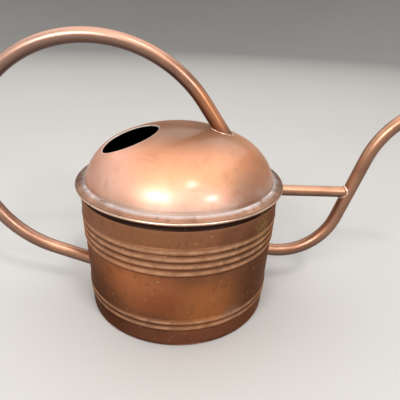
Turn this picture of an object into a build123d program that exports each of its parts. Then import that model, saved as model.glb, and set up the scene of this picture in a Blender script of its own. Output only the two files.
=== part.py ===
from build123d import *
import math
import os

# A sheet-metal watering can with a long bent spout and a ring handle.
# Origin: the middle of the flat underside. +Z is up, +X points to the spout.

# --- Can ---
SHEET = 0.8                 # thickness of every pressed sheet
WALL_FOOT_R = 69.2          # outside of the wall at its foot
WALL_TOP_R = 73.1           # outside of the wall at the rim
RIM_Z = 99.4                # height of the middle of the rolled rim
RIM_ROLL_R = 1.2            # radius of the rolled rim
RIM_OVERHANG = 1.8          # from the wall's outside to the middle of the roll
NECK_STEP = 0.5             # the wall steps in by this much under the rim
NECK_DROP = 5.4             # the step is this far below the rim
RIDGE_DROP = 18.3           # upper edge of the four ridges below the middle of the rim
RIDGE_PITCH = 5.35
RIDGE_COUNT = 4
RIDGE_PROUD = 0.7           # how far a ridge stands out
FOOT_RIDGE_TOP_Z = 23.9     # upper edge of the two ridges near the foot
FOOT_RIDGE_PITCH = 4.8
FOOT_RIDGE_COUNT = 2
PAN_CORNER_R = 1.8          # rounded lower corner of the pan
SEAM_H = 0.8                # groove between the pan's corner and the wall
PAN_FLANGE_H = 6.0          # upright flange of the pan, inside the wall
SHEET_GAP = 0.1             # between sheets that slip into each other

# --- Shoulder and dome ---
SHOULDER_RISE = 3.1         # the shoulder climbs this much from the roll to the dome
SHOULDER_BORE_R = 66.0      # hole in the shoulder, under the dome
DOME_INSET = 3.8            # from the wall's outside to the dome's foot
DOME_RISE = 37.5            # from the foot of the dome to its top
DOME_SHOULDER_R = 41.0      # tighter bend above the foot
DOME_LEAN = 15.2             # degrees the dome leans in at its foot
DOME_BEAD_OUT = 2.0         # solder bead round the dome's foot: out over the shoulder
DOME_BEAD_UP = 1.2          # up the dome
DOME_BEAD_CROWN = 0.35      # how far its face bulges

# --- Fill opening ---
MOUTH_REACH = 37.1          # from the can's axis to the middle of the opening
MOUTH_TURN = 15.8           # degrees from under the handle's grip towards -Y
MOUTH_HALF_LENGTH = 21.4    # down the slope
MOUTH_HALF_WIDTH = 17.4     # across the slope
MOUTH_DEPTH = 25.0          # how deep the cutter reaches each way

# --- Handle ---
HANDLE_R = 5.1
HANDLE_WALL = 0.9
HANDLE_FOOT_X = 29.4        # where the tube's middle meets the dome
HANDLE_FOOT_RUN = 23.8      # straight run above the dome
HANDLE_TOP_X = -62.1        # highest point of the tube's middle
HANDLE_TOP_RISE = 56.7      # above the top of the dome
HANDLE_LOW_Z = 26.0         # where the tube's middle meets the wall
HANDLE_RUN = 30.8           # straight run out of the wall
HANDLE_RUN_TILT = 19.9      # degrees that the run climbs away from the wall
HANDLE_BALANCE = 0.38        # first tangent of the back curve over its second

# --- Spout ---
SPOUT_R = 4.8
SPOUT_WALL = 0.8
SPOUT_Z = 38.6              # where the tube's middle leaves the wall
SPOUT_ROOT_TILT = -4.3
SPOUT_ROOT_RUN = 6.0        # straight run out of the wall
SPOUT_RISE_R = 44.6         # first bend, upwards
SPOUT_RISE_SWEEP = 77.4
SPOUT_RUN = 50.3            # straight run between the bends
SPOUT_ARCH_R = 59.2         # second bend, over and outwards
SPOUT_ARCH_SWEEP = 97.0
SPOUT_TIP_RUN = 12.0        # straight end

# --- Brace ---
BRACE_R = 4.1
BRACE_WALL = 0.8
BRACE_DROP = 8.2            # middle of the brace below the middle of the rim

# --- Joints of tube to sheet ---
WELD = 0.9                  # how far a joint bead stands out
SINK = 14.0                 # how far a tube is drawn into the can before it is trimmed

OUT = "parts"


def wall_r(z):
    """Outside radius of the plain tapered wall at height z."""
    return WALL_FOOT_R + (WALL_TOP_R - WALL_FOOT_R) * z / RIM_Z


ROLL_R = WALL_TOP_R + RIM_OVERHANG          # middle of the rolled rim
WALL_BOTTOM_Z = PAN_CORNER_R + SEAM_H
DOME_FOOT_R = WALL_TOP_R - DOME_INSET
DOME_FOOT_Z = RIM_Z + SHOULDER_RISE
DOME_TOP_Z = DOME_FOOT_Z + DOME_RISE
BRACE_Z = RIM_Z - BRACE_DROP


def dome_arcs():
    """Centre and radius of the dome's two tangent arcs, and the angle where they meet."""
    lean = math.radians(DOME_LEAN)
    bend_x = DOME_FOOT_R - DOME_SHOULDER_R * math.cos(lean)
    bend_z = DOME_FOOT_Z - DOME_SHOULDER_R * math.sin(lean)
    half = math.atan((DOME_TOP_Z - bend_z - DOME_SHOULDER_R) / bend_x)
    meet = math.pi / 2 - 2 * half
    crown_r = bend_x / math.cos(meet) + DOME_SHOULDER_R
    return bend_x, bend_z, lean, meet, crown_r, DOME_TOP_Z - crown_r


def dome_height(x):
    """Height of the dome's outside over a point x on its crown."""
    bend_x, bend_z, lean, meet, crown_r, crown_z = dome_arcs()
    if abs(x) <= crown_r * math.cos(meet):
        return crown_z + math.sqrt(crown_r ** 2 - x ** 2)
    return bend_z + math.sqrt(DOME_SHOULDER_R ** 2 - (abs(x) - bend_x) ** 2)


def polar(cx, cz, r, angle):
    return (cx + r * math.cos(angle), cz + r * math.sin(angle))


def turned(face):
    """Turns a face drawn in the XZ plane once round the can's axis."""
    return revolve(face, Axis.Z, 360)


def ring(points):
    """Turned ring whose section is the polygon through points (r, z)."""
    return turned(make_face(Plane.XZ * Polyline(*points, close=True)))


# --- The can's own pieces ---

def wall_line(offset):
    """The wall's section from foot to rim as a list of edges, moved out by offset."""
    def at(z, extra=0.0):
        return (wall_r(z) + offset + extra, z)

    def ridges(top, pitch, count):
        start = top - pitch * count
        return [(start + i * pitch, start + (i + 1) * pitch) for i in range(count)]

    edges = []
    here = WALL_BOTTOM_Z
    bands = ridges(FOOT_RIDGE_TOP_Z, FOOT_RIDGE_PITCH, FOOT_RIDGE_COUNT)
    bands += ridges(RIM_Z - RIDGE_DROP, RIDGE_PITCH, RIDGE_COUNT)
    for low, high in bands:
        if low > here + 0.01:
            edges.append(Line(at(here), at(low)))
        edges.append(ThreePointArc(at(low), at((low + high) / 2, RIDGE_PROUD), at(high)))
        here = high
    step_z = RIM_Z - NECK_DROP
    edges.append(Line(at(here), at(step_z)))
    edges.append(Line(at(step_z), at(step_z + NECK_STEP, -NECK_STEP)))
    edges.append(Line(at(step_z + NECK_STEP, -NECK_STEP), at(RIM_Z + SHOULDER_RISE, -NECK_STEP)))
    return edges


def wall_face(outer, inner):
    """Face between two copies of the wall's line, or out to the axis if inner is None."""
    edges = wall_line(outer)
    low, high = edges[0] @ 0, edges[-1] @ 1
    if inner is None:
        edges += [Line(high, (0, high.Y)), Line((0, high.Y), (0, low.Y)), Line((0, low.Y), low)]
    else:
        inside = wall_line(inner)
        edges += inside + [Line(high, inside[-1] @ 1), Line(inside[0] @ 0, low)]
    return Plane.XZ * make_face(edges)


def shoulder_points(drop):
    """The shoulder's top line from roll to bore, lowered by drop."""
    return [(ROLL_R, RIM_Z + RIM_ROLL_R / 2 - drop), (DOME_FOOT_R, DOME_FOOT_Z - drop),
            (SHOULDER_BORE_R, DOME_FOOT_Z - drop)]


def shoulder_ring():
    section = shoulder_points(0) + shoulder_points(SHEET)[::-1]
    roll = turned(Plane.XZ * Pos(ROLL_R, RIM_Z) * Circle(RIM_ROLL_R))
    return ring(section) + roll


def body_wall():
    """The wall, open at both ends, cut to the shoulder's slope and holed for the spout."""
    wall = turned(wall_face(0, -SHEET))
    over = shoulder_points(SHEET + SHEET_GAP)
    top = DOME_FOOT_Z + SHEET
    wall -= ring([(ROLL_R + SHEET, over[0][1])] + over + [(SHOULDER_BORE_R, top), (ROLL_R + SHEET, top)])
    return wall - bore_at_root()


def base_pan():
    """Flat bottom, rounded corner, then a step in to a flange that stands inside the wall."""
    top_z = WALL_BOTTOM_Z + PAN_FLANGE_H
    flange_low = wall_r(WALL_BOTTOM_Z) - SHEET - SHEET_GAP
    flange_top = wall_r(top_z) - SHEET - SHEET_GAP
    corner_x = WALL_FOOT_R - PAN_CORNER_R
    inner_r = PAN_CORNER_R - SHEET
    outside = [Line((0, 0), (corner_x, 0)),
               RadiusArc((corner_x, 0), (WALL_FOOT_R, PAN_CORNER_R), -PAN_CORNER_R),
               Line((WALL_FOOT_R, PAN_CORNER_R), (flange_low, WALL_BOTTOM_Z)),
               Line((flange_low, WALL_BOTTOM_Z), (flange_top, top_z))]
    inside = [Line((0, SHEET), (corner_x, SHEET)),
              RadiusArc((corner_x, SHEET), (corner_x + inner_r, PAN_CORNER_R), -inner_r),
              Line((corner_x + inner_r, PAN_CORNER_R), (flange_low - SHEET, WALL_BOTTOM_Z)),
              Line((flange_low - SHEET, WALL_BOTTOM_Z), (flange_top - SHEET, top_z))]
    ends = [Line((0, 0), (0, SHEET)), Line((flange_top, top_z), (flange_top - SHEET, top_z))]
    return turned(Plane.XZ * make_face(outside + inside + ends))


def base_seam_solder(pan, wall):
    """Filler in the groove between the pan's corner and the wall's lower edge."""
    inside = wall_r(WALL_BOTTOM_Z) - SHEET
    band = ring([(inside, PAN_CORNER_R), (WALL_FOOT_R, PAN_CORNER_R),
                 (wall_r(WALL_BOTTOM_Z), WALL_BOTTOM_Z), (inside, WALL_BOTTOM_Z)])
    return band - pan - wall


def dome_section(inset):
    """The dome's profile from foot to top, moved in by inset, and its end points."""
    bend_x, bend_z, lean, meet, crown_r, crown_z = dome_arcs()
    bend_r, top_r = DOME_SHOULDER_R - inset, crown_r - inset
    lean = math.asin((DOME_FOOT_Z - bend_z) / bend_r)
    foot = polar(bend_x, bend_z, bend_r, lean)
    joint = polar(bend_x, bend_z, bend_r, meet)
    top = (0, crown_z + top_r)
    bend = ThreePointArc(foot, polar(bend_x, bend_z, bend_r, (lean + meet) / 2), joint)
    crown = ThreePointArc(joint, polar(0, crown_z, top_r, (meet + math.pi / 2) / 2), top)
    return [bend, crown], foot, top


def mouth_cutter():
    """Oval cutter for the fill opening, square to the dome at the opening's middle."""
    crown_r = dome_arcs()[4]
    tilt = math.asin(MOUTH_REACH / crown_r)
    plane = Plane(origin=(-MOUTH_REACH, 0, dome_height(MOUTH_REACH)),
                  x_dir=(math.cos(tilt), 0, math.sin(tilt)),
                  z_dir=(-math.sin(tilt), 0, math.cos(tilt)))
    cutter = extrude(plane * Ellipse(MOUTH_HALF_LENGTH, MOUTH_HALF_WIDTH), MOUTH_DEPTH, both=True)
    return Rot(0, 0, MOUTH_TURN) * cutter


def dome_cover():
    outer, outer_foot, outer_top = dome_section(0)
    inner, inner_foot, inner_top = dome_section(SHEET)
    ends = [Line(outer_foot, inner_foot), Line(outer_top, inner_top)]
    shell = turned(Plane.XZ * make_face(outer + inner + ends))
    return shell - mouth_cutter()


def wall_blank(grow=0.0):
    """The wall filled to the axis; grow makes it larger."""
    return turned(wall_face(grow, None))


def can_blank(grow=0.0):
    """The can's outside as one filled solid, used to trim tubes; grow makes it larger."""
    arcs, foot, top = dome_section(-grow)
    dome = turned(Plane.XZ * make_face(arcs + [Line(top, (0, foot[1])), Line((0, foot[1]), foot)]))
    roll = turned(Plane.XZ * Pos(ROLL_R, RIM_Z) * Circle(RIM_ROLL_R + grow))
    neck = [(0, RIM_Z - SHEET)] + [(r, z + grow) for r, z in shoulder_points(0)][:2]
    neck += [(0, DOME_FOOT_Z + grow)]
    neck.insert(1, (ROLL_R, RIM_Z - SHEET))
    return wall_blank(grow) + dome + roll + ring(neck)


def dome_solder():
    """Bead in the corner between the shoulder's slope and the dome's foot."""
    corner, outer = (DOME_FOOT_R, DOME_FOOT_Z), shoulder_points(0)[0]
    slope = math.atan2(outer[1] - DOME_FOOT_Z, outer[0] - DOME_FOOT_R)
    side = math.pi / 2 + math.radians(DOME_LEAN)
    low, high = polar(*corner, DOME_BEAD_OUT, slope), polar(*corner, DOME_BEAD_UP, side)
    middle = ((low[0] + high[0]) / 2, (low[1] + high[1]) / 2)
    away = math.atan2(low[0] - high[0], high[1] - low[1])
    bulge = ThreePointArc(low, polar(*middle, DOME_BEAD_CROWN, away), high)
    return turned(Plane.XZ * make_face([Line(corner, low), bulge, Line(high, corner)]))


# --- Tubes ---

def tube(path, radius):
    """Round bar along a path in the XZ plane."""
    return sweep(Plane(origin=path @ 0, z_dir=path % 0) * Circle(radius), path)


def handle_path():
    """Handle's middle line: dome, top, back curve of two arcs, straight run into the wall."""
    tilt = math.radians(HANDLE_RUN_TILT)
    run_dir = (math.cos(tilt), -math.sin(tilt))
    wall_x = -wall_r(HANDLE_LOW_Z)
    end = (wall_x + SINK * run_dir[0], HANDLE_LOW_Z + SINK * run_dir[1])
    bend = (wall_x - HANDLE_RUN * run_dir[0], HANDLE_LOW_Z - HANDLE_RUN * run_dir[1])
    top = (HANDLE_TOP_X, DOME_TOP_Z + HANDLE_TOP_RISE)
    foot = (HANDLE_FOOT_X, dome_height(HANDLE_FOOT_X))

    # Front arc: level at the top, ending in a straight run down to the foot and into the dome.
    dx, dz = foot[0] - top[0], top[1] - foot[1]
    fall = 2 * math.atan(dz / (dx + HANDLE_FOOT_RUN))
    down = (math.cos(fall), -math.sin(fall))
    inside = (foot[0] + SINK * down[0], foot[1] + SINK * down[1])
    above = (foot[0] - HANDLE_FOOT_RUN * down[0], foot[1] - HANDLE_FOOT_RUN * down[1])

    # Back curve: two tangent arcs from the top to the bend, level at the top.
    vx, vz = bend[0] - top[0], bend[1] - top[1]
    k = HANDLE_BALANCE
    a = 2 * k * (1 + run_dir[0])
    b = 2 * (vx * (run_dir[0] - k) + vz * run_dir[1])
    reach = (-b + math.sqrt(b * b + 4 * a * (vx * vx + vz * vz))) / (2 * a)
    knee_1 = (top[0] - k * reach, top[1])
    knee_2 = (bend[0] - reach * run_dir[0], bend[1] - reach * run_dir[1])
    share = k / (1 + k)
    meet = tuple(p + (q - p) * share for p, q in zip(knee_1, knee_2))
    with BuildLine(Plane.XZ) as line:
        Line(inside, above)
        TangentArc(above, top, tangent=(-down[0], -down[1]))
        TangentArc(top, meet, tangent=(-1, 0))
        TangentArc(meet, bend, tangent=(knee_2[0] - knee_1[0], knee_2[1] - knee_1[1]))
        Line(bend, end)
    return line.wire()


def spout_path():
    """Spout's middle line: out of the wall, up, over and out."""
    tilt = math.radians(SPOUT_ROOT_TILT)
    root = (wall_r(SPOUT_Z) - SINK * math.cos(tilt), SPOUT_Z - SINK * math.sin(tilt))
    with BuildLine(Plane.XZ) as line:
        start = PolarLine(root, SINK + SPOUT_ROOT_RUN, SPOUT_ROOT_TILT)
        rise = JernArc(start @ 1, start % 1, SPOUT_RISE_R, SPOUT_RISE_SWEEP)
        run = PolarLine(rise @ 1, SPOUT_RUN, SPOUT_ROOT_TILT + SPOUT_RISE_SWEEP)
        arch = JernArc(run @ 1, run % 1, SPOUT_ARCH_R, -SPOUT_ARCH_SWEEP)
        end_angle = SPOUT_ROOT_TILT + SPOUT_RISE_SWEEP - SPOUT_ARCH_SWEEP
        PolarLine(arch @ 1, SPOUT_TIP_RUN, end_angle)
    return line.wire()


def bore_at_root():
    """Hole through the wall, in line with the spout's bore."""
    tilt = math.radians(SPOUT_ROOT_TILT)
    axis = (math.cos(tilt), 0, math.sin(tilt))
    start = (wall_r(SPOUT_Z) - SINK * axis[0], 0, SPOUT_Z - SINK * axis[2])
    return extrude(Plane(origin=start, z_dir=axis) * Circle(SPOUT_R - SPOUT_WALL), 2 * SINK)


def brace_bar(radius):
    """Level bar from inside the can to the spout's middle line."""
    samples = [spout_path() @ (i / 400) for i in range(401)]
    end_x = min(samples, key=lambda p: abs(p.Z - BRACE_Z)).X
    start_x = wall_r(BRACE_Z) - SINK
    return extrude(Plane(origin=(start_x, 0, BRACE_Z), z_dir=(1, 0, 0)) * Circle(radius), end_x - start_x)


def outer_part(solid):
    """Keeps the largest solid of a trimmed tube."""
    return max(solid.solids(), key=lambda s: s.volume)


def joint_bead(bar, grown_bar, body, grown_body):
    """Bead along the line where a bar meets a body, from both made larger by WELD."""
    return (grown_bar & grown_body) - body - bar


def save(name, shape):
    shape.label = name
    export_step(shape, os.path.join(OUT, name + ".step"))


def main():
    os.makedirs("parts", exist_ok=True)
    blank = can_blank()
    grown = can_blank(WELD)
    pan, wall = base_pan(), body_wall()

    handle, grown_handle = tube(handle_path(), HANDLE_R), tube(handle_path(), HANDLE_R + WELD)
    spout, grown_spout = tube(spout_path(), SPOUT_R), tube(spout_path(), SPOUT_R + WELD)
    brace, grown_brace = brace_bar(BRACE_R), brace_bar(BRACE_R + WELD)

    save("base_pan", pan)
    save("body_wall", wall)
    save("base_seam_solder", base_seam_solder(pan, wall))
    save("shoulder_ring", shoulder_ring())
    save("dome_cover", dome_cover())
    save("dome_solder", dome_solder())

    save("handle_tube", outer_part(handle - tube(handle_path(), HANDLE_R - HANDLE_WALL) - blank))
    save("spout_tube", outer_part(spout - tube(spout_path(), SPOUT_R - SPOUT_WALL) - blank))
    save("brace_tube", outer_part(brace - brace_bar(BRACE_R - BRACE_WALL) - blank - spout))

    handle_beads = joint_bead(handle, grown_handle, blank, grown).solids()
    save("handle_dome_weld", max(handle_beads, key=lambda s: s.center().Z))
    save("handle_wall_weld", min(handle_beads, key=lambda s: s.center().Z))
    save("spout_wall_weld", outer_part(joint_bead(spout, grown_spout, blank, grown)))
    save("brace_wall_weld", outer_part(joint_bead(brace, grown_brace, blank, wall_blank(WELD))))
    save("brace_spout_weld", outer_part(joint_bead(brace, grown_brace, spout, grown_spout)))


main()
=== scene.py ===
import math

import bpy
import numpy as np
from mathutils import Matrix


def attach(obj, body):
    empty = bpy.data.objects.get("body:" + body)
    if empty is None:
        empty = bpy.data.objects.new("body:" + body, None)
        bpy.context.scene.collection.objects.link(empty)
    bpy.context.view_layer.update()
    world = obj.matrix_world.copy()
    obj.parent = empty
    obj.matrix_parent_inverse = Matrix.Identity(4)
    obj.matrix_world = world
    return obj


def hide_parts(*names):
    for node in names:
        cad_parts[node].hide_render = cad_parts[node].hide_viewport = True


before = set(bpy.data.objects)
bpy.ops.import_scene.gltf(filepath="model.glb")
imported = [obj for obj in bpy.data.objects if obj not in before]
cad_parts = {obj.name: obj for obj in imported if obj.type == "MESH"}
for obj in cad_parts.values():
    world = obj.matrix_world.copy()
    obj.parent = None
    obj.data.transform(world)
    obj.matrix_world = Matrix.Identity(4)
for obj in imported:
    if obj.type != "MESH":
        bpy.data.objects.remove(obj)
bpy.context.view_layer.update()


# --- The can's wall ---
# A sheet of copper-coloured metal rolled into a slightly flared cylinder and soldered, with four
# beads rolled into its upper half and two near the foot. Its top is necked in to carry the rim.
SHEET = 0.0008
FOOT_R, TOP_R, RIM_Z = 0.0692, 0.0731, 0.0994
WALL_LOW_Z, WALL_HIGH_Z = 0.0026, 0.1009
TOP_BEADS = (0.0597, 0.00535, 4)        # lowest edge, pitch, count
FOOT_BEADS = (0.0143, 0.0048, 2)
BEAD_PROUD, BEAD_ROUNDING, GROOVE_HALF, PAST_BEADS = 0.0007, 0.75, 0.0005, 0.001
NECK_Z, NECK_MIDDLE, NECK_STEP, NECK_SOFTNESS = 0.0940, 0.0943, 0.0005, 0.00012
WALL_COLUMNS, SHARP_CORNER = 288, math.radians(42)


def colour(red, green, blue, alpha=1.0):
    """Linear colour of three screen values from 0 to 255."""
    screen = np.array([red, green, blue]) / 255.0
    linear = np.where(screen <= 0.04045, screen / 12.92, ((screen + 0.055) / 1.055) ** 2.4)
    return (*[float(v) for v in linear], alpha)


def skin(name, points, close_rows=False, caps=False, marks=None):
    """Mesh over a grid of points (rows, columns, 3). Neighbouring rows and columns are joined by
    quads and the columns close into a ring. close_rows joins the last row to the first; caps
    closes the first and last rows with a fan round the middle of the row. marks are named values,
    one per grid point, which the materials read."""
    rows, columns = points.shape[:2]
    index = np.arange(rows * columns).reshape(rows, columns)
    if close_rows:
        index = np.vstack([index, index[:1]])
    ahead = np.roll(index, -1, axis=1)
    quads = np.stack([index[:-1], ahead[:-1], ahead[1:], index[1:]], axis=-1).reshape(-1, 4)
    vertices = points.reshape(-1, 3)
    faces = quads.tolist()
    if caps:
        first, last = len(vertices), len(vertices) + 1
        vertices = np.vstack([vertices, points[0].mean(0), points[-1].mean(0)])
        start, end = index[0], index[-1]
        faces += np.stack([np.full(columns, first), np.roll(start, -1), start], axis=-1).tolist()
        faces += np.stack([np.full(columns, last), end, np.roll(end, -1)], axis=-1).tolist()
    mesh = bpy.data.meshes.new(name)
    mesh.from_pydata(vertices.tolist(), [], faces)
    for label, values in (marks or {}).items():
        grid = np.broadcast_to(values, (rows, columns)).ravel()
        grid = np.concatenate([grid, np.zeros(len(vertices) - len(grid))]).astype(np.float32)
        mesh.attributes.new(label, "FLOAT", "POINT").data.foreach_set("value", grid)
    mesh.shade_smooth()
    mesh.set_sharp_from_angle(angle=SHARP_CORNER)
    piece = bpy.data.objects.new(name, mesh)
    bpy.context.scene.collection.objects.link(piece)
    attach(piece, "root")
    return piece


def turned(radius, height, columns=480):
    """Grid of a profile turned round the can's axis: x = r cos a, y = r sin a, z = height."""
    angle = np.linspace(0, 2 * np.pi, columns, endpoint=False)
    radius, height = np.atleast_1d(radius)[:, None], np.atleast_1d(height)[:, None]
    return np.stack([radius * np.cos(angle), radius * np.sin(angle),
                     np.broadcast_to(height, (len(height), columns))], axis=-1)


def taper(z):
    """Plain outside radius of the wall at height z: a straight line from foot to rim."""
    return FOOT_R + (TOP_R - FOOT_R) * z / RIM_Z


def bead_height(z):
    """How far the beads stand out at height z, from 0 to 1: half waves side by side, each rounded
    by a power below 1, with narrow grooves between them."""
    total = np.zeros_like(z)
    for low, pitch, count in (TOP_BEADS, FOOT_BEADS):
        share = (z - low) / pitch
        arch = np.abs(np.sin(np.pi * share)) ** BEAD_ROUNDING
        total = np.where((share > 0) & (share < count), arch, total)
    return total


def groove_shade_mask(z):
    """1 in the grooves under and between the beads, falling off as a bell on both sides. It places the
    painted shade in them.
    """
    total = np.zeros_like(z)
    for low, pitch, count in (TOP_BEADS, FOOT_BEADS):
        edges = low + pitch * np.arange(count)
        nearest = np.abs(z[:, None] - edges).min(axis=1)
        total = np.maximum(total, np.exp(-(nearest / GROOVE_HALF) ** 2))
    return total


def bead_rows(beads, rows):
    """Heights spread evenly over a group of beads and a little past it on both sides."""
    low, pitch, count = beads
    return np.linspace(low - PAST_BEADS, low + pitch * count + PAST_BEADS, rows)


# Rows lie close together over the beads and the neck, and the inner face has every second row. The
# neck is a smooth step inwards. Painted shade under the rim covers it from just below, over a thin
# painted highlight along the step's edge.
heights = np.unique(np.concatenate([
    np.linspace(WALL_LOW_Z, WALL_HIGH_Z, 60), bead_rows(FOOT_BEADS, 50), bead_rows(TOP_BEADS, 96),
    np.linspace(NECK_Z - 0.0008, NECK_Z + 0.0014, 16)]))
neck = NECK_STEP / (1 + np.exp(-(heights - NECK_MIDDLE) / NECK_SOFTNESS))
outside = taper(heights) + BEAD_PROUD * bead_height(heights) - neck
inner_rows = np.unique(np.append(np.arange(0, len(heights), 2), len(heights) - 1))[::-1]
above_neck_shade_edge = heights - NECK_Z + 0.0006
wall_marks = {"groove_shade": groove_shade_mask(heights), "crest_highlight": bead_height(heights) ** 3,
              "neck_shade": np.clip(above_neck_shade_edge / 0.0004, 0, 1),
              "step_highlight": np.exp(-((above_neck_shade_edge + 0.0004) / 0.0004) ** 2)}
wall_marks = {label: np.append(values, np.zeros(len(inner_rows)))[:, None]
              for label, values in wall_marks.items()}
wall_marks["inside"] = np.append(np.zeros(len(heights)), np.ones(len(inner_rows)))[:, None]
wall_r = np.concatenate([outside, outside[inner_rows] - SHEET])
wall_z = np.concatenate([heights, heights[inner_rows]])
wall = skin("wall", turned(wall_r, wall_z, WALL_COLUMNS), close_rows=True, marks=wall_marks)
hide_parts("body_wall")


class Finish:
    """A procedural material while it is put together. Its patterns read the piece's own metres.
    The tone starts as one plain colour, and more colours are laid over it one by one."""

    def __init__(self, name, plain, metal=1.0):
        self.material = bpy.data.materials.new(name)
        self.material.use_nodes = True
        tree = self.material.node_tree
        self.nodes, self.link, self.shader = tree.nodes, tree.links.new, tree.nodes["Principled BSDF"]
        self.place = self.nodes.new("ShaderNodeTexCoord").outputs["Object"]
        self.tone = plain
        self.fixed({"Metallic": metal})

    def fixed(self, numbers):
        """Sets values that are the same all over the surface."""
        for socket, number in numbers.items():
            self.shader.inputs[socket].default_value = number

    def stretched(self, scale, centre=(0.0, 0.0, 0.0)):
        """The piece's coordinates, moved so that centre is the middle, then scaled on each axis."""
        mapping = self.nodes.new("ShaderNodeMapping")
        mapping.vector_type = "POINT"
        mapping.inputs["Location"].default_value = [-c * s for c, s in zip(centre, scale)]
        mapping.inputs["Scale"].default_value = scale
        self.link(self.place, mapping.inputs["Vector"])
        return mapping.outputs["Vector"]

    def blotches(self, scale, detail, rough, warp=0.0, place=None):
        """Noise from 0 to 1; scale is in blotches per metre."""
        noise = self.nodes.new("ShaderNodeTexNoise")
        for socket, number in (("Scale", scale), ("Detail", detail), ("Roughness", rough),
                               ("Distortion", warp)):
            noise.inputs[socket].default_value = number
        self.link(self.place if place is None else place, noise.inputs["Vector"])
        return noise.outputs["Fac"]

    def fade(self, value, low, high, to_low=0.0, to_high=1.0):
        """Value from low to high, spread smoothly over to_low to to_high and held at its ends."""
        step = self.nodes.new("ShaderNodeMapRange")
        step.interpolation_type = "SMOOTHSTEP"
        self.link(value, step.inputs["Value"])
        for socket, number in (("From Min", low), ("From Max", high), ("To Min", to_low),
                               ("To Max", to_high)):
            step.inputs[socket].default_value = number
        return step.outputs["Result"]

    def sums(self, kind, a, b):
        """Arithmetic on a value and another value or number."""
        maths = self.nodes.new("ShaderNodeMath")
        maths.operation = kind
        self.link(a, maths.inputs[0])
        if isinstance(b, (int, float)):
            maths.inputs[1].default_value = b
        else:
            self.link(b, maths.inputs[1])
        return maths.outputs[0]

    def times(self, a, b):
        """A value multiplied by another value or number."""
        return self.sums("MULTIPLY", a, b)

    def mark(self, label):
        """A value stored on the mesh."""
        reader = self.nodes.new("ShaderNodeAttribute")
        reader.attribute_name = label
        return reader.outputs["Fac"]

    def spot(self, centre, size, soft):
        """1 inside an egg of the given half sizes round a point, fading to 0 outside it."""
        length = self.nodes.new("ShaderNodeVectorMath")
        length.operation = "LENGTH"
        self.link(self.stretched([1 / s for s in size], centre), length.inputs[0])
        return self.fade(length.outputs["Value"], 1 + soft, 1 - soft)

    def lay(self, shade, amount):
        """Lays a colour over the tone: tone times (1 - amount) plus colour times amount."""
        mix = self.nodes.new("ShaderNodeMix")
        mix.data_type = "RGBA"
        self.link(amount, mix.inputs[0])
        if isinstance(self.tone, tuple):
            mix.inputs[6].default_value = self.tone
        else:
            self.link(self.tone, mix.inputs[6])
        mix.inputs[7].default_value = shade
        self.tone = mix.outputs[2]

    def lay_clouds(self, clouds, soft, ragged=None):
        """Lays soft patches of colour, each given as centre, half sizes, colour and amount. A
        value from 0 to 1 may break them up."""
        for centre, size, shade, amount in clouds:
            if ragged is not None:
                amount = self.times(ragged, amount)
            self.lay(shade, self.times(self.spot(centre, size, soft), amount))

    def put_on(self, piece, rough, dents):
        """Joins tone, roughness and dents to the shader, and gives the piece the finish. Dents are
        values with their depths in metres, coarsest first."""
        self.link(self.tone, self.shader.inputs["Base Color"])
        if isinstance(rough, float):
            self.fixed({"Roughness": rough})
        else:
            self.link(rough, self.shader.inputs["Roughness"])
        normal = None
        for height, depth in dents:
            bump = self.nodes.new("ShaderNodeBump")
            bump.inputs["Strength"].default_value = 1.0
            bump.inputs["Distance"].default_value = depth
            self.link(height, bump.inputs["Height"])
            if normal:
                self.link(normal, bump.inputs["Normal"])
            normal = bump.outputs["Normal"]
        if normal:
            self.link(normal, self.shader.inputs["Normal"])
        piece.data.materials.append(self.material)


# Rolled copper that has gone brown, with orange clouds over the front, purple-brown painted shade
# down both sides, a painted sheen high on the left, painted shade in the grooves, painted
# highlights on the bead crests, and faint lines round the can from rolling.
copper = Finish("wall_copper_finish", colour(106, 69, 50))
patches = copper.blotches(22, 5, 0.6, 0.4)
stains = copper.blotches(120, 4, 0.6, 0.6)
specks = copper.blotches(900, 2, 0.5)
pale_specks = copper.blotches(480, 2, 0.4, place=copper.stretched((1, 1, 1), (0.3, 0.2, 0.1)))
rolling_lines = copper.blotches(1, 3, 0.5, place=copper.stretched((6, 6, 900)))
copper.lay(colour(130, 84, 59), copper.fade(patches, 0.38, 0.62))
# Of these clouds, the dark ones on the left and right sides and at the left of the foot are painted shade,
# and the pale one high on the left is a painted sheen. The rest are orange and red-brown tones over the
# front, a lighter band near the top, a small pale spot, and lighter and darker bands round the foot.
copper.lay_clouds((
    ((-0.031, -0.064, 0.047), (0.030, 0.030, 0.018), colour(190, 118, 76), 0.80),
    ((0.021, -0.068, 0.034), (0.024, 0.030, 0.019), colour(178, 112, 66), 0.80),
    ((-0.012, -0.070, 0.037), (0.018, 0.030, 0.009), colour(142, 80, 52), 0.55),
    ((-0.026, -0.066, 0.089), (0.060, 0.046, 0.014), colour(170, 116, 82), 0.60),
    ((-0.056, -0.040, 0.026), (0.024, 0.036, 0.026), colour(78, 50, 42), 0.75),
    ((-0.060, -0.038, 0.080), (0.020, 0.036, 0.022), colour(150, 112, 92), 0.70),
    ((0.058, -0.042, 0.036), (0.022, 0.036, 0.026), colour(88, 58, 48), 0.75),
    ((0.038, -0.058, 0.022), (0.007, 0.010, 0.005), colour(156, 132, 112), 0.45),
    ((-0.054, -0.044, 0.008), (0.022, 0.030, 0.014), colour(58, 34, 32), 0.70),
    ((0.010, -0.070, 0.006), (0.036, 0.050, 0.009), colour(160, 104, 78), 0.60),
    ((0.000, -0.070, 0.006), (0.090, 0.050, 0.009), colour(112, 66, 48), 0.50)),
    soft=0.65, ragged=copper.fade(stains, 0.30, 0.52, 0.55, 1.0))
copper.lay(colour(74, 42, 30), copper.fade(stains, 0.56, 0.78, 0, 0.35))
# Painted shade in the grooves under and between the beads.
copper.lay(colour(66, 38, 26), copper.times(copper.mark("groove_shade"), 0.65))
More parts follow.
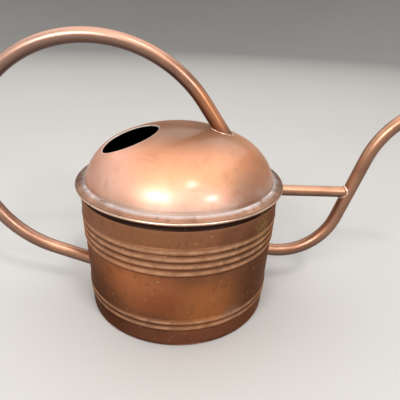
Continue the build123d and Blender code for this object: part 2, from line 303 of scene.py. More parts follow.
# Painted highlight along the bead crests, broken up by the stains.
crest_highlight_amount = copper.times(copper.mark("crest_highlight"), copper.fade(stains, 0.35, 0.65, 0.45, 0.9))
copper.lay(colour(216, 166, 130), crest_highlight_amount)
# Painted shade under the rim over the neck, and a painted highlight along the step below it.
copper.lay(colour(46, 28, 22), copper.mark("neck_shade"))
copper.lay(colour(168, 124, 100), copper.times(copper.mark("step_highlight"), 0.6))
verdigris = copper.spot((0.057, -0.045, 0.083), (0.006, 0.012, 0.010), 0.8)
copper.lay(colour(164, 140, 92), copper.times(verdigris, copper.fade(specks, 0.46, 0.60)))
copper.lay(colour(50, 28, 22), copper.fade(specks, 0.68, 0.80, 0, 0.6))
copper.lay(colour(206, 176, 152), copper.fade(pale_specks, 0.705, 0.77, 0, 0.65))
# Painted shade on the inner face of the wall.
copper.lay(colour(24, 16, 13), copper.mark("inside"))
copper.fixed({"Specular Tint": colour(215, 190, 175), "Coat Weight": 0.06, "Coat Roughness": 0.3})
copper.put_on(wall, copper.fade(patches, 0.3, 0.7, 0.52, 0.42),
              ((patches, 0.0005), (rolling_lines, 0.00002), (specks, 0.00002)))


# --- The pan ---
# The bottom is a shallow pan pressed from the same sheet, with a rounded lower corner. Its flange
# stands up inside the wall, and the groove that is left between corner and wall is filled.
PAN_CORNER, FLANGE_TOP_Z, SLIP, PAN_MIDDLE_R = 0.0018, 0.0086, 0.0001, 0.0005
UNDER_RINGS, UPPER_RINGS, PAN_COLUMNS = 40, 30, 360
corner_turn = np.linspace(-np.pi / 2, 0, 12)[1:]
corner_r = FOOT_R - PAN_CORNER
flange_r = taper(WALL_LOW_Z) - SHEET - SLIP
flange_top_r = taper(FLANGE_TOP_Z) - SHEET - SLIP
under_r = np.concatenate([np.linspace(PAN_MIDDLE_R, corner_r, UNDER_RINGS),
                          corner_r + PAN_CORNER * np.cos(corner_turn), [flange_r, flange_top_r]])
under_z = np.concatenate([np.zeros(UNDER_RINGS), PAN_CORNER + PAN_CORNER * np.sin(corner_turn),
                          [WALL_LOW_Z - 0.0002, FLANGE_TOP_Z]])
upper_r = np.concatenate([[flange_top_r - SHEET, flange_r - SHEET],
                          np.linspace(corner_r, PAN_MIDDLE_R, UPPER_RINGS)])
upper_z = np.concatenate([[FLANGE_TOP_Z, PAN_CORNER], np.full(UPPER_RINGS, SHEET)])
inside = np.append(np.zeros(len(under_r)), np.ones(len(upper_r)))[:, None]
pan = skin("pan", turned(np.append(under_r, upper_r), np.append(under_z, upper_z), PAN_COLUMNS),
           caps=True, marks={"inside": inside})
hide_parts("base_pan")

copper = Finish("pan_copper_finish", colour(92, 54, 40))
patches = copper.blotches(30, 5, 0.6, 0.5)
scuffs = copper.blotches(1, 4, 0.65, place=copper.stretched((300, 300, 60)))
copper.lay(colour(146, 90, 64), copper.fade(patches, 0.36, 0.66))
copper.lay(colour(66, 40, 32), copper.fade(scuffs, 0.55, 0.75, 0, 0.7))
# Painted shade on the pan's upper face inside the can.
copper.lay(colour(30, 20, 17), copper.mark("inside"))
copper.put_on(pan, copper.fade(scuffs, 0.3, 0.7, 0.36, 0.55), ((patches, 0.0005), (scuffs, 0.00006)))


# --- The filler in the groove above the pan ---
# A thin dark line of old solder between the pan's corner and the wall's lower edge. It was run in
# hot, holds the pan in the wall and keeps the bottom tight.
FILLER_Z, FILLER_INSET, FILLER_HALF_R, FILLER_HALF_Z = 0.0022, 0.0006, 0.00045, 0.00055
lap = np.linspace(0, 2 * np.pi, 14, endpoint=False)
filler_r = taper(FILLER_Z) - FILLER_INSET + FILLER_HALF_R * np.cos(lap)
filler_z = FILLER_Z + FILLER_HALF_Z * np.sin(lap)
seam = skin("seam_filler", turned(filler_r, filler_z, PAN_COLUMNS), close_rows=True)
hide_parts("base_seam_solder")

old_solder = Finish("seam_filler_finish", colour(46, 28, 22))
crumbs = old_solder.blotches(500, 4, 0.6)
old_solder.lay(colour(120, 84, 66), old_solder.fade(crumbs, 0.5, 0.75))
old_solder.put_on(seam, 0.6, ((crumbs, 0.0001),))


# --- The shoulder and its rolled rim ---
# A ring of sheet that slopes from the foot of the dome out to the rim, where its edge is rolled
# over. It sits on the necked top of the wall and covers its edge.
ROLL_R, ROLL = 0.0749, 0.0012           # from the can's axis to the roll's middle, roll's radius
SHOULDER_Z, BORE_R, DOME_FOOT_R = 0.1025, 0.0660, 0.0693
ROLL_START, SLOPE_LIFT, SEAT = -2.55, 0.0006, 0.0004
slope = math.atan2(SHOULDER_Z - RIM_Z - SLOPE_LIFT, DOME_FOOT_R - ROLL_R)
round_roll = np.linspace(ROLL_START, slope - math.pi / 2, 40)
edge_r = ROLL_R + ROLL * np.cos(round_roll)
edge_z = RIM_Z + ROLL * np.sin(round_roll)
top_r = np.append(np.linspace(edge_r[-1], DOME_FOOT_R + SEAT, 12)[1:], [DOME_FOOT_R - SEAT, BORE_R])
top_z = np.append(np.linspace(edge_z[-1], SHOULDER_Z - 0.0001, 12)[1:], [SHOULDER_Z, SHOULDER_Z])
low_r = np.array([BORE_R, DOME_FOOT_R, edge_r[0] - 0.0002])
low_z = np.array([SHOULDER_Z - SHEET, SHOULDER_Z - SHEET, edge_z[0] + 0.0002])
ring_r, ring_z = np.concatenate([edge_r, top_r, low_r]), np.concatenate([edge_z, top_z, low_z])
not_roll = np.zeros(len(top_r) + len(low_r))
rim_marks = {
    "crest_highlight": np.append(np.exp(-((round_roll - 0.35) / 0.45) ** 2), not_roll),
    "under": np.append(np.clip(-(round_roll + 0.25) / 0.35, 0, 1), not_roll),
    "crease_shade": np.exp(-(np.hypot(ring_r - edge_r[-1], ring_z - edge_z[-1]) / 0.0004) ** 2),
    "bloom": np.clip(1 - (ring_r - DOME_FOOT_R) / 0.0035, 0, 1) * (ring_z > SHOULDER_Z - 0.002)}
shoulder = skin("shoulder", turned(ring_r, ring_z), close_rows=True,
                marks={label: values[:, None] for label, values in rim_marks.items()})
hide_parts("shoulder_ring")

# Painted highlight along the top of the roll, painted shade on its underside and in the crease
# where it meets the slope, with a whitish bloom of old flux beside the dome.
copper = Finish("rim_copper_finish", colour(124, 90, 72))
patches = copper.blotches(40, 5, 0.6, 0.4)
stains = copper.blotches(260, 4, 0.6, 0.5)
copper.lay(colour(158, 118, 94), copper.fade(patches, 0.35, 0.62))
# Painted shade in the crease where the slope meets the roll.
copper.lay(colour(92, 62, 48), copper.times(copper.mark("crease_shade"), 0.8))
# Painted highlight along the top of the roll.
copper.lay(colour(246, 212, 188), copper.times(copper.mark("crest_highlight"), 0.9))
# Painted shade on the underside of the roll.
copper.lay(colour(52, 34, 27), copper.mark("under"))
copper.lay(colour(84, 54, 42), copper.fade(stains, 0.58, 0.76, 0, 0.6))
copper.lay(colour(204, 202, 204), copper.times(copper.mark("bloom"), copper.fade(patches, 0.32, 0.58)))
copper.fixed({"Coat Weight": 0.15, "Coat Roughness": 0.3})
copper.put_on(shoulder, copper.fade(stains, 0.3, 0.75, 0.30, 0.50), ((patches, 0.0004), (stains, 0.00008)))


# --- The dome ---
# A cap spun from the same sheet, in two arcs that run into each other, standing on the shoulder.
# An oval hole to fill it by is cut in its slope on the handle's side, a little towards the front,
# and the cut edge is left raw.
DOME_RISE, BEND_R, LEAN = 0.0375, 0.0410, math.radians(15.2)    # lean of the side at the foot
DOME_TOP_Z = SHOULDER_Z + DOME_RISE
BEND_X = DOME_FOOT_R - BEND_R * math.cos(LEAN)
BEND_Z = SHOULDER_Z - BEND_R * math.sin(LEAN)
MEET = math.pi / 2 - 2 * math.atan((DOME_TOP_Z - BEND_Z - BEND_R) / BEND_X)
CROWN_R = BEND_X / math.cos(MEET) + BEND_R
CROWN_Z = DOME_TOP_Z - CROWN_R
MOUTH_REACH, MOUTH_TURN = 0.0371, math.radians(15.8)    # middle's distance from the axis, turn
MOUTH_LONG, MOUTH_WIDE = 0.0214, 0.0174                 # half sizes, down the slope and across
DOME_COLUMNS, LIP_BULGE, EDGE_FADE, BLOOM_SHARE = 400, 0.00018, 0.0004, 1 / 9
crown_length = CROWN_R * (math.pi / 2 - MEET)
dome_length = crown_length + BEND_R * (MEET - LEAN)


def dome_point(along, around, inset):
    """Point of the dome whose distance from the top, measured over the dome, is along, in the
    direction around, moved in by inset along the normal: the crown's arc, then the bend's arc."""
    tilt = np.where(along < crown_length, along / CROWN_R,
                    math.pi / 2 - MEET + (along - crown_length) / BEND_R)
    on_crown = along < crown_length
    centre_r, centre_z = np.where(on_crown, 0, BEND_X), np.where(on_crown, CROWN_Z, BEND_Z)
    arc_r = np.where(on_crown, CROWN_R, BEND_R) - inset
    r, z = centre_r + arc_r * np.sin(tilt), centre_z + arc_r * np.cos(tilt)
    return np.stack([r * np.cos(around), r * np.sin(around), z], axis=-1)


def mouth_edge(angle):
    """The hole's edge on the dome, flattened: an oval on the tangent plane at the hole's middle,
    slid square to that plane onto the dome, as distance from the top and direction. Each step
    slides every point by its distance from the dome's two arcs."""
    tilt = math.asin(MOUTH_REACH / CROWN_R)
    down, out = MOUTH_LONG * np.cos(angle), CROWN_R + np.zeros(len(angle))
    y = -MOUTH_WIDE * np.sin(angle)
    for _ in range(30):
        x = -down * math.cos(tilt) - out * math.sin(tilt)
        z = CROWN_Z - down * math.sin(tilt) + out * math.cos(tilt)
        r = np.hypot(x, y)
        lean = np.arctan2(r, z - CROWN_Z)
        on_crown = lean < math.pi / 2 - MEET
        out -= np.where(on_crown, np.hypot(r, z - CROWN_Z) - CROWN_R,
                        np.hypot(r - BEND_X, z - BEND_Z) - BEND_R)
    bend = np.arctan2(r - BEND_X, z - BEND_Z) - math.pi / 2 + MEET
    along = np.where(on_crown, CROWN_R * lean, crown_length + BEND_R * bend)
    return along, np.arctan2(y, x) + MOUTH_TURN


def on_dome(flat, inset):
    """Dome points of flattened ones: their distance from the middle is the distance from the top."""
    return dome_point(np.hypot(flat[..., 0], flat[..., 1]), np.arctan2(flat[..., 1], flat[..., 0]), inset)


# Rows run from the hole's edge to the foot, closer together at the edge, then round the raw lip.
angle = np.linspace(0, 2 * np.pi, DOME_COLUMNS, endpoint=False)
edge_along, edge_around = mouth_edge(angle)
edge_flat = np.stack([edge_along * np.cos(edge_around), edge_along * np.sin(edge_around)], axis=-1)
foot_turn = angle + math.pi + MOUTH_TURN
foot_flat = dome_length * np.stack([np.cos(foot_turn), np.sin(foot_turn)], axis=-1)
share = np.append(np.linspace(0, 0.02, 6), np.linspace(0.02, 1, 110)[1:])
flat = edge_flat + share[:, None, None] * (foot_flat - edge_flat)
lip = np.linspace(0, np.pi, 9)[1:-1]
inwards = edge_flat - foot_flat
inwards /= np.hypot(inwards[:, 0], inwards[:, 1])[:, None]
lip_flat = edge_flat + LIP_BULGE * np.sin(lip)[:, None, None] * inwards
lip_depth = (SHEET / 2 * (1 - np.cos(lip)))[:, None]
grid = np.concatenate([on_dome(flat, 0.0)[::-1], on_dome(lip_flat, lip_depth), on_dome(flat, SHEET)])
rows = len(share)
near_edge = np.exp(-np.hypot(*(flat - edge_flat).transpose(2, 0, 1)) / EDGE_FADE)
near_foot = np.clip(1 - (1 - share) / BLOOM_SHARE, 0, 1)[::-1]
dome_marks = {
    "bare_edge_and_glint": np.concatenate([0.4 * near_edge[::-1], np.ones((len(lip), DOME_COLUMNS)), 0.5 * near_edge]),
    "inside": np.concatenate([np.zeros(rows), np.linspace(0, 0.6, len(lip)), np.ones(rows)])[:, None],
    "bloom": np.append(near_foot, np.zeros(len(lip) + rows))[:, None]}
dome = skin("dome", grid, close_rows=True, marks=dome_marks)
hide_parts("dome_cover")

# Spun copper, lighter than the wall, with cloudy stains, a painted sheen on the left and low at the
# front, painted shade on the crown and in the crease along the foot, a pale bloom near the foot,
# and bright bare metal where the hole's edge was cut, painted near white as a glint.
copper = Finish("dome_copper_finish", colour(170, 118, 88))
drifts = copper.blotches(20, 5, 0.6, 0.5)
stains = copper.blotches(110, 4, 0.6, 0.6)
specks = copper.blotches(700, 2, 0.5)
copper.lay(colour(206, 156, 126), copper.fade(drifts, 0.38, 0.60))
# Of these clouds, the pale one on the left is a painted sheen, the pale one low at the front a painted glow
# round the highlights, and the dark one over the crown painted shade. The others are orange and grey tones
# of the metal.
copper.lay_clouds((
    ((0.004, -0.048, 0.127), (0.048, 0.034, 0.018), colour(222, 164, 124), 0.70),
    ((-0.052, -0.036, 0.117), (0.026, 0.036, 0.018), colour(230, 182, 162), 0.75),
    ((0.050, -0.030, 0.121), (0.016, 0.016, 0.014), colour(188, 124, 86), 0.60),
    ((0.006, -0.004, 0.140), (0.056, 0.032, 0.012), colour(134, 98, 76), 0.85),
    ((0.005, -0.066, 0.109), (0.044, 0.014, 0.009), colour(218, 172, 154), 0.70),
    ((0.048, -0.047, 0.108), (0.018, 0.020, 0.010), colour(160, 120, 104), 0.50)),
    soft=0.65)
copper.lay(colour(136, 92, 68), copper.fade(stains, 0.50, 0.82, 0, 0.30))
bloom = copper.times(copper.mark("bloom"), copper.fade(drifts, 0.42, 0.60))
copper.lay(colour(206, 190, 178), copper.times(bloom, 0.7))
copper.lay(colour(92, 58, 46), copper.fade(specks, 0.68, 0.82, 0, 0.6))
# Bare metal at the cut edge, painted near white, which also stands in for glints along it.
bare_and_glint = copper.times(copper.mark("bare_edge_and_glint"), copper.fade(stains, 0.38, 0.50, 0.7, 1.0))
copper.lay(colour(240, 234, 228), bare_and_glint)
# Painted shade in the crease along the dome's foot.
foot_crease_shade = copper.spot((0.0, 0.0, SHOULDER_Z + 0.0016), (1.0, 1.0, 0.0007), 0.9)
copper.lay(colour(120, 74, 56), copper.times(foot_crease_shade, 0.2))
# Painted shade inside the dome.
copper.lay(colour(26, 18, 15), copper.mark("inside"))
copper.fixed({"Specular Tint": colour(214, 170, 150), "Coat Weight": 0.55, "Coat Roughness": 0.22})
crown_dullness = copper.times(copper.spot((0.0, -0.008, 0.141), (0.064, 0.050, 0.020), 0.7), 0.30)
copper.put_on(dome, copper.sums("ADD", crown_dullness, copper.fade(drifts, 0.3, 0.7, 0.60, 0.52)),
              ((drifts, 0.0004), (stains, 0.00003), (specks, 0.00002)))


# --- The solder round the dome's foot ---
# A run of soft solder, uneven in width, laid in the corner between dome and shoulder. It joins the
# two, and is silvery, with a pale coppery painted highlight along the front.
BEAD_OUT, BEAD_UP, BEAD_CROWN, RUN_COLUMNS = 0.0020, 0.0012, 0.00035, 720
around = np.linspace(0, 2 * np.pi, RUN_COLUMNS, endpoint=False)
low = BEAD_OUT * np.array([math.cos(slope), math.sin(slope)])
high = BEAD_UP * np.array([-math.sin(LEAN), math.cos(LEAN)])
away = np.array([high[1] - low[1], low[0] - high[0]]) / np.hypot(*(high - low))
# The face bulges between its two edges, which lie on the shoulder and the dome. The back is sunk
# into both and isn't seen.
share = np.linspace(0, 1, 12)[:, None]
face = low + share * (high - low) + 4 * BEAD_CROWN * share * (1 - share) * away
hidden = np.array([[-0.0006, 0.0008], [-0.0006, -0.0004], [0.0010, -0.0008]])
swell = 0.95 + 0.10 * np.sin(17 * around + 0.6) * np.sin(5 * around) + 0.05 * np.sin(61 * around + 2)
hidden = np.broadcast_to(hidden[:, :, None], (len(hidden), 2, RUN_COLUMNS))
section = np.concatenate([face[:, :, None] * swell, hidden])
run_r, run_z = DOME_FOOT_R + section[:, 0], SHOULDER_Z + section[:, 1]
run_grid = np.stack([run_r * np.cos(around), run_r * np.sin(around), run_z], axis=-1)
solder = skin("dome_solder_run", run_grid, close_rows=True)
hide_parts("dome_solder")

silver = Finish("solder_finish", colour(214, 212, 214))
greys = silver.blotches(45, 4, 0.6, 0.4)
grain = silver.blotches(600, 4, 0.6)
silver.lay(colour(240, 240, 244), silver.fade(greys, 0.40, 0.62))
# Pale coppery painted highlight along the front of the run.
coppery_front_highlight = silver.spot((0.006, -0.074, 0.1025), (0.042, 0.020, 0.006), 0.5)
silver.lay(colour(250, 214, 184), silver.times(coppery_front_highlight, 0.85))
silver.lay(colour(124, 94, 80), silver.fade(grain, 0.60, 0.80, 0, 0.4))
silver.fixed({"Coat Weight": 0.6, "Coat Roughness": 0.15})
silver.put_on(solder, silver.fade(grain, 0.3, 0.7, 0.32, 0.5), ((greys, 0.0003), (grain, 0.00006)))


# --- The handle ---
# One bent tube of the same metal: it leaves the dome on the spout's side of the top, goes over in
# a wide ring behind the can, and comes back into the wall near the foot. Both ends are brazed on.
HANDLE_R, HANDLE_WALL = 0.0051, 0.0009
HANDLE_FOOT_X, FOOT_RUN = 0.0294, 0.0238                # where it meets the dome, straight run there
HANDLE_TOP = (-0.0621, DOME_TOP_Z + 0.0567)             # highest place of its middle line
LOW_Z, LOW_RUN, LOW_TILT = 0.0260, 0.0308, math.radians(19.9)
BALANCE = 0.38                  # reach of the first arc behind, as a share of the second's
TUBE_COLUMNS, RING_SPACING = 64, 0.0012
KEPT_RINGS, END_RINGS = slice(8, -6), 8                 # rings between the ends, rings in each end


def arc_between(start, heading, end):
    """Radius and sweep of the one arc that leaves start along heading and reaches end."""
    chord = np.subtract(end, start)
    lean = math.atan2(chord[1], chord[0]) - heading
    lean = (lean + math.pi) % (2 * math.pi) - math.pi
    return math.hypot(*chord) / (2 * math.sin(abs(lean))), 2 * lean


def bent_line(start, heading, steps):
    """Middle line of a tube in the XZ plane: straight runs (length, 0) and arcs (radius, sweep),
    one after another, as points and headings about evenly spaced."""
    places, headings = [np.array([start])], [np.array([heading])]
    at, facing = np.array(start, float), heading
    for size, sweep in steps:
        length = size if sweep == 0 else size * abs(sweep)
        share = np.linspace(0, 1, max(3, int(length / RING_SPACING)))[1:]
        turn = facing + sweep * share
        if sweep == 0:
            path = at + size * share[:, None] * np.array([math.cos(facing), math.sin(facing)])
        else:
            moved = [np.sin(turn) - math.sin(facing), math.cos(facing) - np.cos(turn)]
            path = at + math.copysign(size, sweep) * np.stack(moved, axis=-1)
        places.append(path)
        headings.append(turn)
        at, facing = path[-1], facing + sweep
    return np.concatenate(places), np.concatenate(headings)


def tube_grid(places, headings, radius, columns=TUBE_COLUMNS):
    """Rings of the given radius round a line in the XZ plane, each square to the line there."""
    turn = np.linspace(0, 2 * np.pi, columns, endpoint=False)
    radius = np.broadcast_to(radius, (len(places), columns))
    up, side = radius * np.cos(turn), radius * np.sin(turn)
    x = places[:, :1] - np.sin(headings)[:, None] * up
    z = places[:, 1:] + np.cos(headings)[:, None] * up
    return np.stack([x, -side, z], axis=-1)


def meet_crown(points, heading, depth):
    """Slides points along a heading until they lie depth under the dome's crown."""
    step = np.array([math.cos(heading), 0.0, math.sin(heading)])
    from_centre = points - np.array([0.0, 0.0, CROWN_Z])
    b = from_centre @ step
    c = (from_centre ** 2).sum(-1) - (CROWN_R - depth) ** 2
    root = np.sqrt(b * b - c)
    return points + (-b - root)[..., None] * step


def meet_wall(points, heading, depth):
    """Slides points along a heading until they lie depth under the plain wall."""
    step = np.array([math.cos(heading), 0.0, math.sin(heading)])
    side = np.sign(points[..., 0].mean())
    moved = points
    for _ in range(6):
        goal = side * np.sqrt((taper(moved[..., 2]) - depth) ** 2 - points[..., 1] ** 2)
        moved = points + ((goal - points[..., 0]) / step[0])[..., None] * step
    return moved


def hollow_tube(name, outer, inner):
    """Closed tube: the outside, a rounded end, the bore back to the start, and a ring that shuts
    it. It stores how far each outside point faces down, from -1 to 1."""
    cut = np.linspace(0, np.pi, 8)[1:-1][:, None, None]
    middle, half = (outer[-1] + inner[-1]) / 2, (outer[-1] - inner[-1]) / 2
    ahead = outer[-1].mean(0) - outer[-2].mean(0)
    ahead = ahead / np.linalg.norm(ahead) * np.linalg.norm(half, axis=-1).mean() * 0.5
    outer = outer - ahead * (np.arange(len(outer)) == len(outer) - 1)[:, None, None]
    lip = middle - ahead + half * np.cos(cut) + ahead * np.sin(cut)
    inside = np.concatenate([np.zeros(len(outer)), np.linspace(0, 1, len(lip)), np.ones(len(inner))])
    grid = np.concatenate([outer, lip, inner[::-1]])
    outwards = outer - outer.mean(1, keepdims=True)
    down = -outwards[..., 2] / np.linalg.norm(outwards, axis=-1)
    down = np.concatenate([down, np.zeros((len(grid) - len(outer), outer.shape[1]))])
    return skin(name, grid, close_rows=True, marks={"inside": inside[:, None], "down": down})


# The arc at the top starts along the run from the dome and is level at the ring's highest place. The
# two arcs behind share their heading where they meet, and the second ends along the low run.
foot = (HANDLE_FOOT_X, CROWN_Z + math.sqrt(CROWN_R ** 2 - HANDLE_FOOT_X ** 2))
dx, dz = foot[0] - HANDLE_TOP[0], HANDLE_TOP[1] - foot[1]
fall = 2 * math.atan(dz / (dx + FOOT_RUN))
front_r = (dx - FOOT_RUN * math.cos(fall)) / math.sin(fall)
run_dir = np.array([math.cos(LOW_TILT), -math.sin(LOW_TILT)])
root = np.array([-taper(LOW_Z), LOW_Z])
bend = root - LOW_RUN * run_dir
vx, vz = bend[0] - HANDLE_TOP[0], bend[1] - HANDLE_TOP[1]
qa = 2 * BALANCE * (1 + run_dir[0])
qb = 2 * (vx * (run_dir[0] - BALANCE) + vz * run_dir[1])
reach = (-qb + math.sqrt(qb * qb + 4 * qa * (vx * vx + vz * vz))) / (2 * qa)
knee_1 = np.array([HANDLE_TOP[0] - BALANCE * reach, HANDLE_TOP[1]])
knee_2 = bend - reach * run_dir
meeting = knee_1 + (knee_2 - knee_1) * BALANCE / (1 + BALANCE)
back_1 = arc_between(HANDLE_TOP, math.pi, meeting)
back_2 = arc_between(meeting, math.atan2(*(knee_2 - knee_1)[::-1]), bend)
places, headings = bent_line(foot, math.pi - fall,
                             [(FOOT_RUN, 0), (front_r, fall), back_1, back_2, (LOW_RUN, 0)])


def handle_surface(radius, depth):
    """Rings along the handle, the first and last slid onto the dome and the wall."""
    grid = tube_grid(places[KEPT_RINGS], headings[KEPT_RINGS], radius)
    start = meet_crown(grid[0], headings[0] + math.pi, depth)
    end = meet_wall(grid[-1], headings[-1], depth)
    lead = np.linspace(0, 1, END_RINGS, endpoint=False)[:, None, None]
    return np.concatenate([start + lead * (grid[0] - start), grid,
                           grid[-1] + (lead + 1 / END_RINGS) * (end - grid[-1])])


outer = handle_surface(HANDLE_R, SHEET / 2)
inner = handle_surface(HANDLE_R - HANDLE_WALL, SHEET / 2)
handle = hollow_tube("handle", outer, inner)
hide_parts("handle_tube")

# Drawn tube, smoother than the sheet, paler over the ring, warmer by the dome and over the spout's
# bend, with brown stains and painted shade on the underside.
tube_copper = Finish("tube_copper_finish", colour(150, 104, 78))
drifts = tube_copper.blotches(28, 5, 0.55, 0.4)
stains = tube_copper.blotches(190, 4, 0.6, 0.6)
tube_copper.lay(colour(182, 132, 102), tube_copper.fade(drifts, 0.38, 0.62))
tube_copper.lay(colour(128, 88, 68), tube_copper.fade(stains, 0.60, 0.80, 0, 0.25))
tube_copper.lay_clouds((((-0.100, 0.0, 0.150), (0.085, 0.085, 0.085), colour(190, 150, 132), 0.8),
                        ((0.026, 0.0, 0.152), (0.020, 0.020, 0.020), colour(214, 142, 96), 0.8),
                        ((0.200, 0.0, 0.163), (0.030, 0.030, 0.030), colour(214, 142, 96), 0.8)),
                       soft=0.5)
# Painted shade on the tubes' undersides.
tube_copper.lay(colour(74, 48, 37), tube_copper.fade(tube_copper.mark("down"), -0.6, 0.7, 0, 0.85))
# Painted shade inside the tubes.
tube_copper.lay(colour(22, 16, 14), tube_copper.mark("inside"))
tube_copper.fixed({"Specular Tint": colour(150, 112, 96), "Coat Weight": 0.8, "Coat Roughness": 0.28})
tube_copper.put_on(handle, tube_copper.fade(drifts, 0.3, 0.7, 0.42, 0.46),
                   ((drifts, 0.00006), (stains, 0.000003)))


# --- The spout ---
# A thinner tube of the same metal from low on the wall: nearly level, then up, then over and out
# to a plain cut end. Its root is brazed over a hole in the wall.
SPOUT_R, SPOUT_WALL, SPOUT_Z = 0.0048, 0.0008, 0.0386
SPOUT_TILT = math.radians(-4.3)
# Straight runs (length, 0) and arcs (radius, sweep), from the wall to the tip.
SPOUT_STEPS = [(0.0060, 0), (0.0446, math.radians(77.4)), (0.0503, 0),
               (0.0592, -math.radians(97.0)), (0.0120, 0)]
ROOT_SKIP, ROOT_RINGS = 3, 5            # rings left out at the root, rings that take their place
places, headings = bent_line((taper(SPOUT_Z), SPOUT_Z), SPOUT_TILT, SPOUT_STEPS)


def spout_surface(radius, depth):
    """Rings along the spout, the first slid back onto the wall."""
    grid = tube_grid(places[ROOT_SKIP:], headings[ROOT_SKIP:], radius)
    start = meet_wall(grid[0], SPOUT_TILT + math.pi, depth)
    lead = np.linspace(0, 1, ROOT_RINGS, endpoint=False)[:, None, None]
    return np.concatenate([start + lead * (grid[0] - start), grid])


outer = spout_surface(SPOUT_R, SHEET / 2)
inner = spout_surface(SPOUT_R - SPOUT_WALL, SHEET / 2)
spout = hollow_tube("spout", outer, inner)
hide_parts("spout_tube")
spout.data.materials.append(tube_copper.material)


# --- The brace ---
# A short level tube of the same metal that ties the spout to the wall just under the rim. Both
# ends are shaped to what they meet and brazed on.
BRACE_R, BRACE_WALL, BRACE_Z = 0.0041, 0.0008, RIM_Z - 0.0082
BRACE_RINGS, GAP_X = 40, 0.09           # rings, and a place between wall and spout
run_at = np.argmin(np.abs(places[:, 1] - BRACE_Z))
lean = headings[run_at]
along_run = (BRACE_Z - places[run_at, 1]) / math.sin(lean)
near = places[run_at] + along_run * np.array([math.cos(lean), math.sin(lean)])


def meet_spout(points, grow):
    """Slides points along +X until they lie on the spout's straight part, made larger by grow."""
    across = SPOUT_R + grow
    reach_z = (points[..., 2] - near[1]) / math.tan(lean)
    side = np.sqrt(np.maximum(across ** 2 - points[..., 1] ** 2, 0)) / math.sin(lean)
    return np.stack([near[0] + reach_z - side, points[..., 1], points[..., 2]], axis=-1)


def brace_surface(radius, depth):
    """Rings of the brace between the wall and the spout."""
    ring = tube_grid(np.array([[GAP_X, BRACE_Z]]), np.array([0.0]), radius)[0]
    start, end = meet_wall(ring, math.pi, depth), meet_spout(ring, -depth)
    return start + np.linspace(0, 1, BRACE_RINGS)[:, None, None] * (end - start)


outer = brace_surface(BRACE_R, SHEET / 2)
inner = brace_surface(BRACE_R - BRACE_WALL, SHEET / 2)
brace = hollow_tube("brace", outer, inner)
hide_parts("brace_tube")
brace.data.materials.append(tube_copper.material)


# --- The brazed joints ---
# Small uneven beads of brazing metal round each tube's end, five in all. They were run in hot and
# left as they set, paler and rougher than the tubes.
JOINT_COLUMNS, JOINT_SIDES, START_OFF = 160, 12, 0.02


def joint_ring(place, heading, radius):
    """One ring of a tube near its end, before it is slid onto what it meets."""
    return tube_grid(np.array([place]), np.array([heading]), radius, JOINT_COLUMNS)[0]


def joint_bead(name, line, inwards, size, seed, node):
    """Bead along a closed line: a circle whose radius swells and ripples, set in the plane of the
    line's outward direction and the direction away from the sheet."""
    turn = np.linspace(0, 2 * np.pi, JOINT_COLUMNS, endpoint=False)
    section = np.linspace(0, 2 * np.pi, JOINT_SIDES, endpoint=False)[:, None]
    outwards = line - line.mean(0)
    outwards -= (outwards @ inwards)[:, None] * inwards
    outwards /= np.linalg.norm(outwards, axis=-1)[:, None]
    swell = size * (0.82 + 0.12 * np.sin(3 * turn + seed) + 0.06 * np.sin(11 * turn + 2 * seed))
    grid = (line + (swell * np.cos(section))[..., None] * outwards
            - (swell * np.sin(section))[..., None] * inwards)
    bead = skin(name, grid, close_rows=True)
    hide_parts(node)
    return bead


into_dome = np.array([math.cos(fall), 0.0, -math.sin(fall)])
into_wall = np.array([run_dir[0], 0.0, run_dir[1]])
spout_back = -np.array([math.cos(SPOUT_TILT), 0.0, math.sin(SPOUT_TILT)])
dome_ring = joint_ring(foot, math.pi - fall, HANDLE_R) - START_OFF * into_dome
wall_ring = joint_ring(root, -LOW_TILT, HANDLE_R)
spout_ring = joint_ring((taper(SPOUT_Z), SPOUT_Z), SPOUT_TILT, SPOUT_R)
brace_ring = joint_ring((GAP_X, BRACE_Z), 0.0, BRACE_R)
joints = [
    joint_bead("braze_handle_dome", meet_crown(dome_ring, -fall, 0.0), into_dome,
               0.0008, 0.4, "handle_dome_weld"),
    joint_bead("braze_handle_wall", meet_wall(wall_ring, -LOW_TILT, 0.0), into_wall,
               0.0009, 1.7, "handle_wall_weld"),
    joint_bead("braze_spout_wall", meet_wall(spout_ring, SPOUT_TILT + math.pi, 0.0)[::-1], spout_back,
               0.0008, 3.1, "spout_wall_weld"),
    joint_bead("braze_brace_wall", meet_wall(brace_ring, math.pi, 0.0)[::-1], np.array([-1.0, 0.0, 0.0]),
               0.0007, 4.2, "brace_wall_weld"),
    joint_bead("braze_brace_spout", meet_spout(brace_ring, 0.0), np.array([1.0, 0.0, 0.0]),
               0.0013, 5.0, "brace_spout_weld")]

braze = Finish("braze_finish", colour(232, 200, 182))
grain = braze.blotches(500, 4, 0.6, 0.4)
braze.lay(colour(140, 104, 86), braze.fade(grain, 0.48, 0.68))
braze.put_on(joints[0], braze.fade(grain, 0.3, 0.7, 0.3, 0.5), ((grain, 0.0001),))
for bead in joints[1:]:
    bead.data.materials.append(braze.material)


# --- Floor and backdrop ---
# A studio floor of pale matt paper that curves up into a round backdrop on every side, so that no
# view looks past it. It lies a hair under the can and isn't part of it.
FLAT_R, BOWL_R, CURVE_HIGH, BACKDROP_HIGH = 2.2, 3.0, 0.8, 3.4
FIRST_RING_R, FLOOR_DROP, BOWL_COLUMNS = 0.5, 0.0001, 96


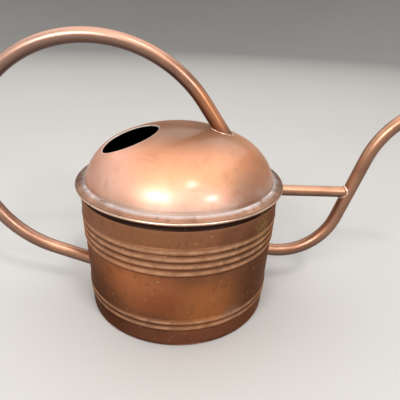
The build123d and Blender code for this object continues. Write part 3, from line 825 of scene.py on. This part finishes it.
def paper_bowl():
    """A level disc, then a quarter circle up, then upright, turned round the can's axis."""
    turn = np.linspace(0, np.pi / 2, 24)
    radius = np.concatenate([[FIRST_RING_R], FLAT_R + (BOWL_R - FLAT_R) * np.sin(turn), [BOWL_R]])
    height = np.concatenate([[0.0], CURVE_HIGH - CURVE_HIGH * np.cos(turn), [BACKDROP_HIGH]])
    grid = turned(radius, height - FLOOR_DROP, BOWL_COLUMNS)
    index = np.arange(grid.shape[0] * BOWL_COLUMNS).reshape(-1, BOWL_COLUMNS)
    ahead = np.roll(index, -1, axis=1)
    bands = np.stack([index[:-1], index[1:], ahead[1:], ahead[:-1]], axis=-1).reshape(-1, 4)
    middle = np.stack([np.full(BOWL_COLUMNS, index.size), index[0], ahead[0]], axis=-1)
    mesh = bpy.data.meshes.new("paper_bowl")
    mesh.from_pydata(np.vstack([grid.reshape(-1, 3), [[0.0, 0.0, -FLOOR_DROP]]]).tolist(), [],
                     bands.tolist() + middle.tolist())
    mesh.shade_smooth()
    return mesh


floor = bpy.data.objects.new("floor", paper_bowl())
bpy.context.scene.collection.objects.link(floor)
paper = Finish("paper", (0.41, 0.40, 0.39, 1.0), metal=0.0)
paper.lay((0.445, 0.435, 0.42, 1.0), paper.blotches(3, 2, 0.5))
paper.fixed({"Specular IOR Level": 0.2})
paper.put_on(floor, 0.9, ())


# --- Light ---
# Soft boxes and a dim even sky. The three small ones in front give the dome its three highlights,
# and the large ones overhead, behind and at both sides fill the rest.
LIT_POINT = np.array([0.0, -0.03, 0.11])


def soft_box(name, azimuth, height, distance, wide, tall, power, tint=(1.0, 0.98, 0.95)):
    """Area lamp, wide by tall, in a direction (degrees round and up) and at a distance from the
    lit point, facing it. Sizes are in metres and power in watts."""
    lamp = bpy.data.lights.new(name, "AREA")
    lamp.shape, lamp.size, lamp.size_y = "RECTANGLE", wide, tall
    lamp.energy, lamp.color = power, tint
    box = bpy.data.objects.new(name, lamp)
    azimuth, height = math.radians(azimuth), math.radians(height)
    away = np.array([math.cos(height) * math.cos(azimuth), math.cos(height) * math.sin(azimuth),
                     math.sin(height)])
    side = np.array([-math.sin(azimuth), math.cos(azimuth), 0.0])
    up = np.cross(away, side)
    at = LIT_POINT + distance * away
    box.matrix_world = Matrix([[side[i], up[i], away[i], at[i]] for i in range(3)] + [[0, 0, 0, 1]])
    bpy.context.scene.collection.objects.link(box)


soft_box("key_left", -117, 33, 1.5, 0.62, 0.31, 17)
soft_box("key_right", -50, 28, 1.5, 0.24, 0.17, 8.5)
soft_box("top", -67, 58, 1.4, 0.17, 0.17, 6)
soft_box("ceiling", 95, 62, 1.7, 2.80, 2.40, 40)
soft_box("left_window", 175, 26, 1.8, 1.80, 1.50, 9, tint=(0.88, 0.94, 1.0))
soft_box("front_sky", -92, 72, 1.6, 1.10, 0.60, 4)
soft_box("right_wall", 20, 18, 1.9, 1.60, 1.40, 5)

world = bpy.data.worlds.new("sky")
bpy.context.scene.world = world
world.use_nodes = True
sky = world.node_tree.nodes["Background"].inputs
sky["Color"].default_value = (0.80, 0.82, 0.86, 1.0)
sky["Strength"].default_value = 0.25


# --- Camera ---
# In front of the can, facing 2 degrees towards the spout's side, looking down at about 25 degrees
# and held slightly rolled.
AIM_ASIDE, AIM_HIGH, AWAY = 0.015443, 0.081395, 0.314282
azimuth, height, roll = math.radians(-2.0), math.radians(24.822), math.radians(2.314)
camera = bpy.data.cameras.new("camera")
camera.lens, camera.sensor_width = 36.77, 36.0
camera.clip_start, camera.clip_end = 0.01, 50.0
viewer = bpy.data.objects.new("camera", camera)
right = np.array([math.cos(azimuth), math.sin(azimuth), 0.0])
back = np.array([math.sin(azimuth) * math.cos(height), -math.cos(azimuth) * math.cos(height),
                 math.sin(height)])
up = np.cross(back, right)
at = right * AIM_ASIDE + np.array([0.0, 0.0, AIM_HIGH]) + back * AWAY
rolled = right * math.cos(roll) + up * math.sin(roll)
upright = up * math.cos(roll) - right * math.sin(roll)
viewer.matrix_world = Matrix([[rolled[i], upright[i], back[i], at[i]] for i in range(3)] + [[0, 0, 0, 1]])
bpy.context.scene.collection.objects.link(viewer)
bpy.context.scene.camera = viewer
bpy.context.scene.view_settings.view_transform = "Standard"
